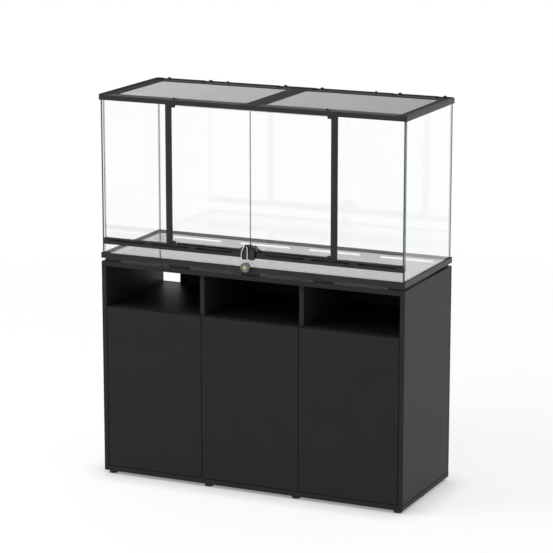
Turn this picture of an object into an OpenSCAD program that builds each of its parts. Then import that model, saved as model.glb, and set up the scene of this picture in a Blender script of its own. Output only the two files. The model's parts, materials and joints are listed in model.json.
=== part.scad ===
// Terrarium cabinet: a flat-pack base cabinet with three open niches above three push-to-open
// doors, and a framed glass tank on top with two swinging glass doors, two lift-off mesh lids,
// closable cable inlets along the rear rail and a small cable lock.
// X runs across the front, -Y is the front, +Z is up. The origin is on the floor, centred.

/* [Cabinet] */
// Width of the cabinet
cabinet_w = 1200; // [900:10:1600]
// Depth of the cabinet
cabinet_d = 460; // [380:10:600]
// Height of the cabinet's top above the floor
cabinet_h = 814; // [700:2:950]
// Thickness of the boards
board_t = 18; // [15:1:22]
// Radius of the banded board edges
board_edge_r = 1; // [0.5:0.1:2]
// Clear height of the open niches
niche_h = 150; // [120:2:220]
// Width of the cable cut-outs in the back panel
cutout_w = 81; // [60:1:120]
// Height of the cable cut-outs
cutout_h = 80; // [50:1:110]

/* [Levelling feet] */
// Height of the feet
foot_h = 12; // [8:1:20]
// Diameter of the feet
foot_d = 32; // [26:1:40]
// Distance from the cabinet's sides to the centres of the outer feet
foot_inset_x = 26; // [22:1:60]
// Distance from the cabinet's front and back to the centres of the feet
foot_inset_y = 24; // [22:1:60]
// Distance from the middle of the cabinet to the centres of the inner feet
foot_inner_x = 176; // [120:2:260]
// Diameter of the foot screws
foot_screw_d = 8; // [6:1:10]
// Length of the foot screws above the foot
foot_screw_l = 14; // [10:1:15]

/* [Cabinet doors] */
// Gap beside and between the doors
door_gap = 2; // [1.5:0.5:4]
// Gap between the doors and the bottom panel
door_bottom_gap = 2.5; // [1.5:0.5:4]
// Distance from the niche floors' top down to the doors' top edge
door_drop = 3; // [2:0.5:8]
// Gap behind the closed doors
door_back_gap = 0.5; // [0.3:0.1:1]

/* [Concealed hinges] */
// Diameter of the hinge cups
cup_d = 35; // [26:1:40]
// Depth of the hinge cups in the door
cup_depth = 12.5; // [10:0.5:13]
// Distance from the door's edge to the cup's centre
cup_edge = 22.5; // [21:0.5:28]
// Distance from the door's top and bottom to the hinges
hinge_inset = 90; // [60:5:140]
// Width of the hinge arms
hinge_arm_w = 14; // [10:1:18]
// Length of the mounting plates
hinge_plate_l = 52; // [40:1:70]

/* [Push latches] */
// Diameter of the latch plungers
plunger_d = 8; // [6:0.5:10]
// Length of the latch housings
latch_l = 70; // [50:1:90]
// Width and height of the latch housings
latch_w = 15; // [13:1:20]
// Distance from the door's free edge to the latch
latch_inset = 22; // [20:1:40]

/* [Adjustable shelves] */
// Thickness of the shelves
shelf_t = 16; // [12:1:22]
// Height of the shelves' underside above the bottom panel
shelf_rise = 290; // [220:2:360]
// Distance that the shelves stand back from the dividers' front
shelf_setback = 22; // [10:1:60]
// Gap between a shelf's ends and the boards beside it
shelf_gap = 1; // [0.5:0.5:2]
// Diameter of the shelf pins
pin_d = 5; // [4:0.5:7]
// Depth of the shelf pin holes
pin_hole_depth = 8; // [6:0.5:8.5]
// Spacing of the shelf pin holes
pin_pitch = 32; // [25:1:40]

/* [Back panel screws] */
// Diameter of the screws
screw_d = 4; // [3:0.5:5]
// Length of the screws
screw_l = 50; // [35:1:60]
// Diameter of the screw heads
screw_head_d = 8; // [7:0.5:10]
// Number of screws up each side
screw_rows = 4; // [2:1:7]

/* [Glass tank] */
// Distance from the cabinet's sides in to the side panes
tank_inset_x = 4.5; // [4:0.5:12]
// Distance from the cabinet's front and back in to the panes
tank_inset_y = 4; // [4:0.5:10]
// Height of the tank with its frames
tank_h = 616; // [450:2:800]
// Thickness of the side, back and base panes
glass_t = 6; // [4:0.5:8]
// Thickness of the front panes and glass doors
front_glass_t = 5; // [4:0.5:6]
// Distance that the front panes stand back from the side panes' front edges
front_setback = 7; // [6:0.5:9]
// Height of the low front pane above the base pane
low_pane_h = 53; // [40:1:80]
// Leg of the silicone seams in the corners
seam_leg = 5; // [3:0.5:8]

/* [Base frame] */
// Wall of the frames outside the glass
frame_wall = 5; // [4:0.5:8]
// Radius of the frames' corners
frame_corner_r = 2.5; // [1:0.5:4]
// Clearance between the frames' walls and the glass
frame_clear = 0.5; // [0.3:0.1:1]
// Height of the base frame's band
band_h = 20; // [16:1:30]
// Height of the base frame's standing skirt
skirt_h = 12; // [8:1:20]
// Distance that the skirt stands back from the band
skirt_setback = 11; // [6:1:16]
// Thickness of the skirt
skirt_t = 8; // [5:1:12]
// Height of the ledge under the base pane
base_ledge_h = 8; // [5:1:12]
// Width of the ledge under the base pane
base_ledge_w = 20; // [14:1:30]
// Length of the skirt between two front gaps at mid height
skirt_foot_l = 77.6; // [50:0.2:110]
// Length of the skirt from a corner to the first front gap
skirt_corner_l = 59.6; // [40:0.2:90]
// Length of the skirt from a corner to the side gap
skirt_side_l = 54.5; // [40:0.5:120]
// Slant of the gaps' ends, from the middle to the edge
gap_slant = 3; // [1:0.5:6]
// Width of the lines drawn along the band
band_line_w = 1; // [0.6:0.2:2]
// Depth of the lines drawn along the band
band_line_depth = 0.8; // [0.4:0.1:1.2]

/* [Vent bar] */
// Height of the vent bar
vent_h = 22; // [18:1:30]
// Height of the vent bar's top above the base frame's band
vent_rise = 55; // [45:1:80]
// Wall of the vent bar
vent_wall = 2.5; // [2:0.5:3]
// Distance from the middle of the tank to the first vent slot
vent_middle = 65.5; // [45:0.5:90]
// Distance between two vent slots
vent_slot_gap = 28.3; // [14:0.1:50]
// Distance from the last vent slot to the side pane
vent_end_gap = 21.5; // [12:0.5:40]
// Height of each vent slot
vent_slot_h = 6.5; // [4:0.5:8]
// Width of the ribs across a slot
vent_rib = 2; // [1.5:0.5:4]
// Height of the lip that the glass doors close against
stop_lip_h = 6; // [5:0.5:7]

/* [Glass doors] */
// Width of the posts beside the doors
post_w = 22; // [16:1:30]
// Distance from the middle of the tank to the posts' centres
post_x = 325.5; // [240:0.5:400]
// Distance that the posts stand proud of the front panes
post_proud = 4; // [2:0.5:5]
// Width of the raised spine down the posts' front
spine_w = 11; // [8:0.5:14]
// Height of the spine
spine_h = 1; // [0.5:0.1:1.5]
// Gap between a glass door and its post
glass_door_side_gap = 2.5; // [2:0.5:4]
// Gap above and below the glass doors
glass_door_end_gap = 4; // [3.5:0.5:6]
// Gap between the two glass doors
meeting_gap = 3; // [2:0.5:5]
// Diameter of the pivot pins
pivot_d = 5; // [4:0.5:6]
// Radial running clearance of pins and plungers
running_clear = 0.05; // [0.03:0.01:0.08]
// Distance from the door's edge to the pivot
pivot_inset = 6.5; // [5.5:0.5:9]
// Length of the pivot clips along the glass
clip_l = 14; // [12:1:40]
// Height of the pivot clips
clip_h = 7; // [6:0.5:20]
// Wall of the pivot clips
clip_wall = 2.5; // [2:0.5:3]

/* [Door handles and lock] */
// Width of one handle
handle_w = 36.5; // [30:0.5:50]
// Height of the handles above the glass doors' bottom edge
handle_h = 22.5; // [16:0.5:30]
// Width of the hasp below the handle
hasp_w = 22.5; // [18:0.5:30]
// Height of the hasp below the vent bar's top
hasp_drop = 27; // [20:1:30]
// Thickness of the hasp
hasp_t = 9.5; // [7:0.5:12]
// Thickness of the eye that carries the lock
eye_t = 4; // [3:0.5:5]
// Diameter of the lock's body
lock_d = 36; // [32:1:42]
// Thickness of the lock's body
lock_t = 14; // [12:1:20]
// Diameter of the lock's cable
cable_d = 3.5; // [2.5:0.5:4]
// Distance that the cable loop stands out to the left of the eye
loop_w = 17; // [15:1:20]
// Height of the cable loop from the lock's centre line to its apex
loop_h = 76; // [70:1:84]
// Diameter of the key plug
key_d = 12; // [9:0.5:14]

/* [Top frame and lids] */
// Height of the top frame
top_frame_h = 18; // [16:1:26]
// Width of the top frame's front rim
front_rim = 27; // [24:1:34]
// Width of the top frame's other rims
rim_w = 16; // [14:1:24]
// Width of the ledges that carry the lids
lid_ledge = 10; // [8:1:16]
// Depth of the lid recess below the frame's top
lid_recess = 8; // [7:0.5:10]
// Depth of the grooves that take the panes
groove_depth = 8; // [5:0.5:8]
// Clearance around the panes in their grooves
groove_clear = 0.3; // [0.1:0.1:0.6]
// Width of the bar between the lids
crossbar_w = 16; // [12:1:24]
// Clearance around the lids
lid_clear = 0.5; // [0.3:0.1:1.5]
// Thickness of the lid frames
lid_t = 7; // [5:0.5:7]
// Width of the lid frames' rails
lid_rail = 24; // [18:1:34]
// Thickness of the mesh
mesh_t = 1; // [0.8:0.1:1.5]
// Width of mesh held in the lid frame
mesh_grip = 3; // [2:0.5:5]
// Width of the lids' lifting tabs
lid_tab_w = 7; // [6:1:24]
// Thickness of the lifting tabs
lid_tab_t = 2; // [1.5:0.5:3]
// Height of the lifting tabs above the top frame
lid_tab_up = 8; // [5:0.5:12]
// Distance of the front lifting tabs behind the top frame's front face
lid_tab_front = 8; // [3:0.5:16]
// Thickness of the trim along the top frame's sides and rear
trim_t = 3; // [2:0.5:4]
// Height of the trim above the top frame
trim_up = 3.5; // [2:0.5:5]
// Distance from the top frame's outer faces to the trim's sides and front ends
trim_inset = 1; // [0.5:0.5:3]

/* [Cable inlets] */
// Width of each cable inlet
inlet_w = 24; // [16:1:30]
// Distance from the middle of the tank to the middle of the inner inlets' trim notches and tabs
inlet_inner = 74; // [60:1:120]
// Distance from the side panes to the same of the middle inlets
inlet_middle = 213.5; // [130:0.5:260]
// Distance from the side panes to the same of the outer inlets
inlet_outer = 39.5; // [38:0.5:60]
// Width of the trim's notch beside a shutter's tab
notch_w = 16; // [10:1:24]
// Thickness of a shutter
shutter_t = 1.5; // [1:0.1:2]
// Clearance around a shutter
shutter_clear = 0.2; // [0.1:0.05:0.3]
// Distance that a shutter's tab stands out behind the frame
tab_out = 2; // [1:0.5:8]
// Distance that a shutter's tab stands above the trim
tab_up = 3; // [1:0.5:5]
// Width of a shutter's tab at its foot
tab_w = 13; // [8:0.5:16]

/* [Hidden] */
$fn = 48;
CUT = 1;

// Colours
BOARD = [0.17, 0.17, 0.17];
DOOR = [0.19, 0.19, 0.19];
FRAME = [0.2, 0.2, 0.2];
BLACK = [0.08, 0.08, 0.08];
GLASS = [0.75, 0.88, 0.84, 0.35];
STEEL = [0.72, 0.73, 0.75];
MESH = [0.66, 0.67, 0.68];

// Cabinet planes
half_w = cabinet_w / 2;
front_y = -cabinet_d / 2;
rear_y = cabinet_d / 2;
floor_top = foot_h + board_t;
inner_x = half_w - board_t;
inner_rear_y = rear_y - board_t;
roof_z = cabinet_h - board_t;
niche_z = roof_z - niche_h;
door_back_y = front_y + board_t;
inset_front_y = door_back_y + door_back_gap;
bay_w = (2 * inner_x - 2 * board_t) / 3;
divider_x0 = bay_w / 2;
divider_x1 = divider_x0 + board_t;

// Cabinet doors, numbered from left to right
door_w = (2 * inner_x - 4 * door_gap) / 3;
door_z0 = floor_top + door_bottom_gap;
door_z1 = niche_z - door_drop;
DOOR_X0 = [for (i = [0:2]) -inner_x + door_gap + i * (door_w + door_gap)];
// Each door's hinge side: -1 left, 1 right
HINGE_SIDE = [-1, -1, 1];
// The faces that the hinge plates are screwed to
PLATE_X = [-inner_x, -divider_x0, inner_x];
HINGE_Z = [door_z0 + hinge_inset, door_z1 - hinge_inset];
flange_t = 1;
flange_w = cup_d - 10;
flange_ear = 8;
arm_gap = 0.3;

// Push latches
latch_y = inset_front_y + 4;
plunger_tip_gap = 0.3;
plunger_inside = 30;
LATCH_X = [for (i = [0:2]) HINGE_SIDE[i] < 0 ? DOOR_X0[i] + door_w - latch_inset : DOOR_X0[i] + latch_inset];
latch_z = niche_z - board_t - latch_w / 2;

// Shelves
BAY_X0 = [-inner_x, -divider_x0, divider_x1];
shelf_z0 = floor_top + shelf_rise;
shelf_y0 = inset_front_y + shelf_setback;
pin_inset_y = 50;
PIN_Y = [shelf_y0 + pin_inset_y, inner_rear_y - pin_inset_y];
pin_out = 8;
hole_clear = 0.1;

// Tank planes
tank_x = half_w - tank_inset_x;
tank_y = cabinet_d / 2 - tank_inset_y;
frame_x = tank_x + frame_clear + frame_wall;
frame_y = tank_y + frame_clear + frame_wall;
skirt_x = frame_x - skirt_setback;
skirt_y = frame_y - skirt_setback;
gap_l = (2 * skirt_x - 2 * skirt_corner_l - 3 * skirt_foot_l) / 4;
gap_pitch = gap_l + skirt_foot_l;
side_gap_l = 2 * (skirt_y - skirt_side_l);
band_z0 = cabinet_h + skirt_h;
band_z1 = band_z0 + band_h;
base_z0 = band_z0 + base_ledge_h;
base_z1 = base_z0 + glass_t;
top_z1 = cabinet_h + tank_h;
top_z0 = top_z1 - top_frame_h;
pane_top_z = top_z0 + groove_depth;
pane_x = tank_x - glass_t;
front_pane_y0 = -tank_y + front_setback;
front_pane_y1 = front_pane_y0 + front_glass_t;
low_pane_y0 = -tank_y + 4;
low_pane_y1 = low_pane_y0 + glass_t;
low_pane_z1 = base_z1 + low_pane_h;
vent_z1 = band_z1 + vent_rise;
vent_z0 = vent_z1 - vent_h;
vent_front_y = -tank_y - 0.5 - vent_wall;
vent_rear_y = front_pane_y1 + 6;
vent_end_x = tank_x - 1.5;
vent_slot_l = (pane_x - vent_end_gap - vent_middle - 2 * vent_slot_gap) / 3;
vent_pitch = vent_slot_l + vent_slot_gap;
vent_first_x = vent_middle + vent_slot_l / 2;
vent_cap_t = -tank_y - vent_front_y;
post_x0 = post_x - post_w / 2;
post_x1 = post_x + post_w / 2;
post_groove = 5.5;
stop_lip_x = post_x0 - clip_l - 4;

// Glass doors
gdoor_x0 = meeting_gap / 2;
gdoor_x1 = post_x0 - glass_door_side_gap;
gdoor_z0 = vent_z1 + glass_door_end_gap;
gdoor_z1 = top_z0 - glass_door_end_gap;
pivot_x = gdoor_x1 - pivot_inset;
pivot_y = (front_pane_y0 + front_pane_y1) / 2;
clip_gap = 1.5;
pivot_reach = 6;
clip_x1 = gdoor_x1 + 1;
swing_r = post_x0 - pivot_x - 0.5;
bolt_x = 18;
bolt_d = 6;
bolt_z = gdoor_z0 + 11;

// Handles and lock, on the left door
hasp_y1 = vent_front_y - 0.6;
hasp_y0 = hasp_y1 - hasp_t;
eye_x = 7.5;
eye_y = hasp_y0 - cable_d / 2 - 1.6;
eye_r = 5.5;
eye_hole_r = cable_d / 2 + 1;
loop_apex_z = gdoor_z0 + handle_h - 4.5;
eye_z = loop_apex_z + 0.3;
lock_x = -eye_x - 1;
lock_z = loop_apex_z - loop_h;
// The loop stays 0.5 mm short of the gap between the doors, so that both doors open freely
loop_bend_r = eye_x + 0.5 - cable_d / 2;
loop_end = 55;
loop_half_h = (loop_h - lock_d / 2 + 4) / (1 + sin(loop_end));
leg_in = 9;
key_depth = 7;

// Top frame and lids
lid_seat_z = top_z1 - lid_recess;
recess_x = frame_x - rim_w;
recess_y0 = -frame_y + front_rim;
recess_y1 = frame_y - rim_w;
lid_x0 = crossbar_w / 2 + lid_clear;
lid_x1 = recess_x - lid_clear;
lid_y0 = recess_y0 + lid_clear;
lid_y1 = recess_y1 - lid_clear;
lid_z1 = lid_seat_z + lid_t;
mesh_x0 = lid_x0 + lid_rail;
mesh_x1 = lid_x1 - lid_rail;
mesh_y0 = lid_y0 + lid_rail;
mesh_y1 = lid_y1 - lid_rail;
mesh_z0 = lid_seat_z + 2;
lid_tab_x = (lid_x0 + lid_x1) / 2 + 2.5;
lid_tab_z1 = top_z1 + lid_tab_up;
lid_tab_front_y = -frame_y + lid_tab_front;

// Cable inlets, numbered from left to right: the tab's centre of each shutter
INLET_SIDE_X = [inlet_inner, tank_x - inlet_middle, tank_x - inlet_outer];
INLET_X = [for (i = [2, 1, 0]) -INLET_SIDE_X[i], for (i = [0:2]) INLET_SIDE_X[i]];
TAB_X = [for (x = INLET_X) x + (notch_w - 1) / 2];
inlet_edge = tab_w / 2;
shutter_travel = 24;
shutter_y1 = frame_y - 1;
shutter_y0 = shutter_y1 - shutter_t;
shutter_z0 = top_z0 + 2;
shutter_z1 = top_z1 + trim_up - 1.5;
shutter_over = 0.5;
groove_z1 = shutter_z0 + 3;

// Trim on the top frame
trim_x1 = frame_x - trim_inset;
trim_y0 = -frame_y + trim_inset;
trim_y1 = shutter_y0 - shutter_clear;
trim_z1 = top_z1 + trim_up;
trim_floor = 1;
lid_tab_back_y = trim_y1 - trim_t - 2;

// ---------------------------------------------------------------- shared shapes

module slab(x0, x1, y0, y1, z0, z1) {
    translate([x0, y0, z0]) cube([x1 - x0, y1 - y0, z1 - z0]);
}

// Draws its children, modelled for the right side, on the left for s = -1
module on_side(s) {
    mirror([s < 0 ? 1 : 0, 0, 0]) children();
}

// A rectangle with true round corners
module soft_rect(w, h, r) {
    translate([r, 0]) square([w - 2 * r, h]);
    translate([0, r]) square([w, h - 2 * r]);
    for (x = [r, w - r], y = [r, h - r]) {
        translate([x, y]) circle(r, $fn = 24);
    }
}

// A board that stands upright, with its four upright edges rounded
module upright_board(x0, x1, y0, y1, z0, z1) {
    translate([x0, y0, z0]) linear_extrude(z1 - z0) soft_rect(x1 - x0, y1 - y0, board_edge_r);
}

// A board that lies flat, with the edges of its front and back rounded
module flat_board(x0, x1, y0, y1, z0, z1) {
    translate([x0, y0, z0]) rotate([90, 0, 90]) linear_extrude(x1 - x0)
        soft_rect(y1 - y0, z1 - z0, board_edge_r);
}

// A block with its four upright edges rounded
module round_block(x, y, z0, z1, r) {
    translate([-x, -y, z0]) linear_extrude(z1 - z0) soft_rect(2 * x, 2 * y, r);
}

// A rod from a point along +Y
module rod_y(x, y0, y1, z, r) {
    translate([x, y0, z]) rotate([-90, 0, 0]) cylinder(y1 - y0, r, r);
}

// A rod from a point along +X
module rod_x(x0, x1, y, z, r) {
    translate([x0, y, z]) rotate([0, 90, 0]) cylinder(x1 - x0, r, r);
}

// A triangular prism in the corner of two panes, upright, pointing towards dx and dy
module seam_up(x, y, dx, dy, z0, z1) {
    translate([x, y, z0]) linear_extrude(z1 - z0)
        polygon([[0, 0], [dx * seam_leg, 0], [0, dy * seam_leg]]);
}

// ---------------------------------------------------------------- cabinet carcass

module foot_places() {
    for (sx = [-1, 1], x = [foot_inner_x, half_w - foot_inset_x]) {
        for (y = [front_y + foot_inset_y, 0, rear_y - foot_inset_y]) {
            translate([sx * x, y, 0]) children();
        }
    }
}

module bottom_panel() {
    color(BOARD) difference() {
        flat_board(-half_w, half_w, front_y, rear_y, foot_h, floor_top);
        foot_places() translate([0, 0, foot_h - CUT])
            cylinder(foot_screw_l + 1 + CUT, foot_screw_d / 2 + hole_clear, foot_screw_d / 2 + hole_clear);
    }
}

// Three shelf pin holes up each of the two pin columns, from x towards +X over depth
module pin_holes(x) {
    for (y = PIN_Y, i = [-1:1]) {
        rod_x(x, x + pin_hole_depth, y, shelf_z0 - pin_d / 2 + i * pin_pitch, pin_d / 2 + hole_clear);
    }
}

module side_panel(s) {
    color(BOARD) on_side(s) difference() {
        upright_board(inner_x, half_w, front_y, inner_rear_y, floor_top, cabinet_h);
        pin_holes(inner_x);
        screw_shanks();
    }
}

module top_panel() {
    color(BOARD) flat_board(-inner_x, inner_x, front_y, inner_rear_y, roof_z, cabinet_h);
}

module divider(s) {
    color(BOARD) on_side(s) difference() {
        upright_board(divider_x0, divider_x1, inset_front_y, inner_rear_y, floor_top, roof_z);
        pin_holes(divider_x0);
        mirror([1, 0, 0]) pin_holes(-divider_x1);
    }
}

module back_panel() {
    color(BOARD) difference() {
        upright_board(-half_w, half_w, inner_rear_y, rear_y, floor_top, cabinet_h);
        for (s = [-1, 1]) on_side(s) {
            slab(inner_x - cutout_w, inner_x, inner_rear_y - CUT, rear_y + CUT, niche_z, niche_z + cutout_h);
            screw_shanks();
            for (z = SCREW_Z) rod_y(screw_x, rear_y - screw_head_t, rear_y + CUT, z, screw_head_d / 2 + hole_clear);
        }
    }
}

module niche_floors() {
    for (x = BAY_X0) {
        color(BOARD) flat_board(x, x + bay_w, inset_front_y, inner_rear_y, niche_z - board_t, niche_z);
    }
}

module adjustable_shelves() {
    for (x = BAY_X0) {
        color(BOARD) flat_board(x + shelf_gap, x + bay_w - shelf_gap, shelf_y0, inner_rear_y - shelf_gap,
            shelf_z0, shelf_z0 + shelf_t);
    }
}

module shelf_pins() {
    color(STEEL) for (x = BAY_X0, y = PIN_Y) {
        rod_x(x - pin_hole_depth + 0.5, x + pin_out, y, shelf_z0 - pin_d / 2, pin_d / 2);
        rod_x(x + bay_w - pin_out, x + bay_w + pin_hole_depth - 0.5, y, shelf_z0 - pin_d / 2, pin_d / 2);
    }
}

module levelling_feet() {
    color(BLACK) foot_places() {
        rotate_extrude() polygon([
            [0, 0], [foot_d / 2 - 1, 0], [foot_d / 2, 1], [foot_d / 2, foot_h - 4],
            [foot_d / 2 - 3, foot_h], [0, foot_h]
        ]);
        cylinder(foot_h + foot_screw_l, foot_screw_d / 2, foot_screw_d / 2);
    }
}

screw_x = half_w - board_t / 2;
screw_head_t = 2.5;
SCREW_Z = [
    for (i = [0:screw_rows - 1])
        floor_top + 60 + i * (cabinet_h - floor_top - 120) / max(screw_rows - 1, 1)
];

// Clearance holes of the back panel's screws, up the right side
module screw_shanks() {
    for (z = SCREW_Z) rod_y(screw_x, rear_y - screw_l - 1, rear_y + CUT, z, screw_d / 2 + hole_clear);
}

module back_panel_screws() {
    color(STEEL) for (s = [-1, 1], z = SCREW_Z) {
        rod_y(s * screw_x, rear_y - screw_l, rear_y - 0.2, z, screw_d / 2);
        rod_y(s * screw_x, rear_y - screw_head_t, rear_y - 0.2, z, screw_head_d / 2);
    }
}

// ---------------------------------------------------------------- cabinet doors

// The centre of door i's hinge cups
function cup_x(i) = HINGE_SIDE[i] < 0 ? DOOR_X0[i] + cup_edge : DOOR_X0[i] + door_w - cup_edge;

module door_panel(i) {
    color(DOOR) difference() {
        upright_board(DOOR_X0[i], DOOR_X0[i] + door_w, front_y, door_back_y, door_z0, door_z1);
        for (z = HINGE_Z) rod_y(cup_x(i), door_back_y - cup_depth, door_back_y + CUT, z, cup_d / 2);
    }
}

// Pressed steel cups with their flanges on the door's back
module hinge_cups(i) {
    color(STEEL) for (z = HINGE_Z) difference() {
        union() {
            rod_y(cup_x(i), door_back_y - cup_depth, door_back_y, z, cup_d / 2);
            slab(cup_x(i) - flange_w / 2, cup_x(i) + flange_w / 2, door_back_y, door_back_y + flange_t,
                z - cup_d / 2 - flange_ear, z + cup_d / 2 + flange_ear);
        }
        rod_y(cup_x(i), door_back_y - cup_depth + 1, door_back_y + flange_t + CUT, z, cup_d / 2 - 3);
    }
}

// The arm and mounting plate of one hinge: u runs from the board's face into the bay
module hinge_arm(u_cup) {
    arm_y = door_back_y + flange_t + arm_gap;
    plate_y = inset_front_y + 34;
    translate([0, 0, -hinge_arm_w / 2]) linear_extrude(hinge_arm_w) polygon([
        [3, plate_y + hinge_plate_l], [3, plate_y - 14], [u_cup - 12, arm_y + 5], [u_cup - 12, arm_y],
        [u_cup + 8, arm_y], [u_cup + 8, arm_y + 6], [15, plate_y - 4], [15, plate_y + hinge_plate_l]
    ]);
    slab(0, 3, plate_y, plate_y + hinge_plate_l, -hinge_arm_w, hinge_arm_w);
}

module door_hinge_arms() {
    color(STEEL) for (i = [0:2], z = HINGE_Z) {
        translate([PLATE_X[i], 0, z]) mirror([HINGE_SIDE[i] > 0 ? 1 : 0, 0, 0])
            hinge_arm(abs(cup_x(i) - PLATE_X[i]));
    }
}

module push_latch_housings() {
    for (x = LATCH_X) color(BLACK) difference() {
        slab(x - latch_w / 2, x + latch_w / 2, latch_y, latch_y + latch_l,
            latch_z - latch_w / 2, latch_z + latch_w / 2);
        rod_y(x, latch_y - CUT, latch_y + latch_l - 4, latch_z, plunger_d / 2 + running_clear);
    }
}

module latch_plunger(i) {
    color(BOARD) rod_y(LATCH_X[i], door_back_y + plunger_tip_gap, latch_y + plunger_inside, latch_z, plunger_d / 2);
}

// ---------------------------------------------------------------- glass tank

// A gap with slanted ends through the skirt, wider at the bottom, along +Y
module skirt_gap(l) {
    rotate([90, 0, 0]) translate([0, 0, -skirt_t * 3]) linear_extrude(skirt_t * 6) polygon([
        [-l / 2 - gap_slant, -CUT], [l / 2 + gap_slant, -CUT],
        [l / 2 - gap_slant, skirt_h], [-l / 2 + gap_slant, skirt_h]
    ]);
}

module base_frame() {
    color(FRAME) difference() {
        union() {
            round_block(frame_x, frame_y, band_z0, band_z1, frame_corner_r);
            round_block(skirt_x, skirt_y, cabinet_h, band_z0 + CUT, frame_corner_r);
        }
        for (k = [0, 1]) {
            z = band_z0 + band_h * (k == 0 ? 0.3 : 0.8);
            band_line(z);
        }
        slab(-skirt_x + skirt_t, skirt_x - skirt_t, -skirt_y + skirt_t, skirt_y - skirt_t,
            cabinet_h - CUT, band_z0);
        slab(-tank_x + base_ledge_w, tank_x - base_ledge_w, -tank_y + base_ledge_w, tank_y - base_ledge_w,
            cabinet_h - CUT, band_z1 + CUT);
        slab(-tank_x - frame_clear, tank_x + frame_clear, -tank_y - frame_clear, tank_y + frame_clear,
            base_z0, band_z1 + CUT);
        for (sy = [-1, 1], k = [-1.5:1.5]) {
            translate([k * gap_pitch, sy * (skirt_y - skirt_t / 2), cabinet_h]) skirt_gap(gap_l);
        }
        for (sx = [-1, 1]) {
            translate([sx * (skirt_x - skirt_t / 2), 0, cabinet_h]) rotate([0, 0, 90]) skirt_gap(side_gap_l);
        }
    }
}

// A line cut all round the band
module band_line(z) {
    difference() {
        slab(-frame_x - CUT, frame_x + CUT, -frame_y - CUT, frame_y + CUT, z, z + band_line_w);
        round_block(frame_x - band_line_depth, frame_y - band_line_depth, z - CUT, z + band_line_w + CUT,
            frame_corner_r - band_line_depth);
    }
}

module base_glass() {
    color(GLASS) slab(-tank_x, tank_x, -tank_y, tank_y, base_z0, base_z1);
}

module back_glass() {
    color(GLASS) slab(-pane_x, pane_x, tank_y - glass_t, tank_y, base_z1, pane_top_z);
}

module side_glass(s) {
    color(GLASS) on_side(s) slab(pane_x, tank_x, -tank_y, tank_y, base_z1, pane_top_z);
}

module front_low_glass() {
    color(GLASS) slab(-pane_x, pane_x, low_pane_y0, low_pane_y1, base_z1, low_pane_z1);
}

module front_pane(s) {
    color(GLASS) on_side(s)
        slab(post_x1 - post_groove, pane_x, front_pane_y0, front_pane_y1, vent_z1, pane_top_z);
}

// An extruded post, with a groove for the fixed pane on its outer side
module post(s) {
    c = 1.5;
    y0 = front_pane_y0 - post_proud;
    y1 = front_pane_y1 + post_proud;
    ys = y0 + spine_h;
    g = post_x1 - post_groove;
    color(FRAME) on_side(s) translate([0, 0, vent_z1]) linear_extrude(top_z0 - vent_z1) polygon([
        [post_x0 + c, ys], [post_x - spine_w / 2, ys], [post_x - spine_w / 2 + 0.6, y0],
        [post_x + spine_w / 2 - 0.6, y0], [post_x + spine_w / 2, ys], [post_x1 - c, ys],
        [post_x1, ys + c], [post_x1, front_pane_y0],
        [g, front_pane_y0], [g, front_pane_y1], [post_x1, front_pane_y1], [post_x1, y1 - c],
        [post_x1 - c, y1], [post_x0 + c, y1], [post_x0, y1 - c], [post_x0, ys + c]
    ]);
}

// One vent slot of three openings, cut through a wall from y0 to y1
module vent_slot(y0, y1, z0, z1) {
    cell = (vent_slot_l - 2 * vent_rib) / 3;
    for (k = [-1:1]) {
        x = k * (cell + vent_rib);
        slab(x - cell / 2, x + cell / 2, y0, y1, z0, z1);
    }
}

// The slots' places along the bar, and those of the ribs beside them that stand on the low pane
VENT_X = [for (s = [-1, 1], k = [0:2]) s * (vent_first_x + k * vent_pitch)];
RIB_X = [for (s = [-1, 1], k = [0:3]) s * (vent_first_x + (k - 0.5) * vent_pitch)];

// A bar of U section over the low pane, with vent slots in its front and rear walls
module vent_bar() {
    y_in = vent_front_y + vent_wall;
    y_back = vent_rear_y - vent_wall;
    z_in = vent_z1 - vent_wall;
    slot_z1 = vent_z1 - 3.5;
    color(FRAME) difference() {
        union() {
            slab(-pane_x, pane_x, vent_front_y, y_in, vent_z0, vent_z1);
            slab(-pane_x, pane_x, y_in - CUT, vent_rear_y, z_in, vent_z1);
            slab(-pane_x, pane_x, y_back, vent_rear_y, vent_z0 + 2, vent_z1);
            slab(-pane_x, pane_x, y_in - CUT, low_pane_y0, vent_z0 + 2, vent_z0 + 5);
            slab(-pane_x, pane_x, low_pane_y1, vent_rear_y, vent_z0 + 2, vent_z0 + 5);
            for (x = RIB_X) slab(x - 5, x + 5, y_in - CUT, y_back + CUT, low_pane_z1, vent_z1);
            for (s = [-1, 1]) {
                slab(s * pivot_x - 8, s * pivot_x + 8, y_in - CUT, y_back + CUT, low_pane_z1, vent_z1);
            }
            slab(-stop_lip_x, stop_lip_x, front_pane_y1 + 0.5, vent_rear_y, z_in, vent_z1 + stop_lip_h);
        }
        for (x = VENT_X) translate([x, 0, 0]) {
            vent_slot(vent_front_y - CUT, y_in + 0.5, slot_z1 - vent_slot_h, slot_z1);
            vent_slot(y_back - 0.5, vent_rear_y + CUT, low_pane_z1 + 0.5, z_in - 0.5);
        }
        for (s = [-1, 1]) translate([s * pivot_x, pivot_y, low_pane_z1 + 1])
            cylinder(vent_z1 - low_pane_z1 + CUT, pivot_d / 2 + running_clear, pivot_d / 2 + running_clear);
    }
}

// Caps on the vent bar's ends, in front of the side panes' edges
module vent_bar_caps() {
    color(BLACK) for (s = [-1, 1]) on_side(s) difference() {
        translate([pane_x, vent_front_y, vent_z0]) cube([vent_end_x - pane_x, vent_cap_t, vent_h]);
        translate([vent_end_x, vent_front_y, vent_z0 - CUT]) rotate([0, 0, 45])
            cube([1.4, 1.4, 2 * vent_h + 4 * CUT], center = true);
    }
}

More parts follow.
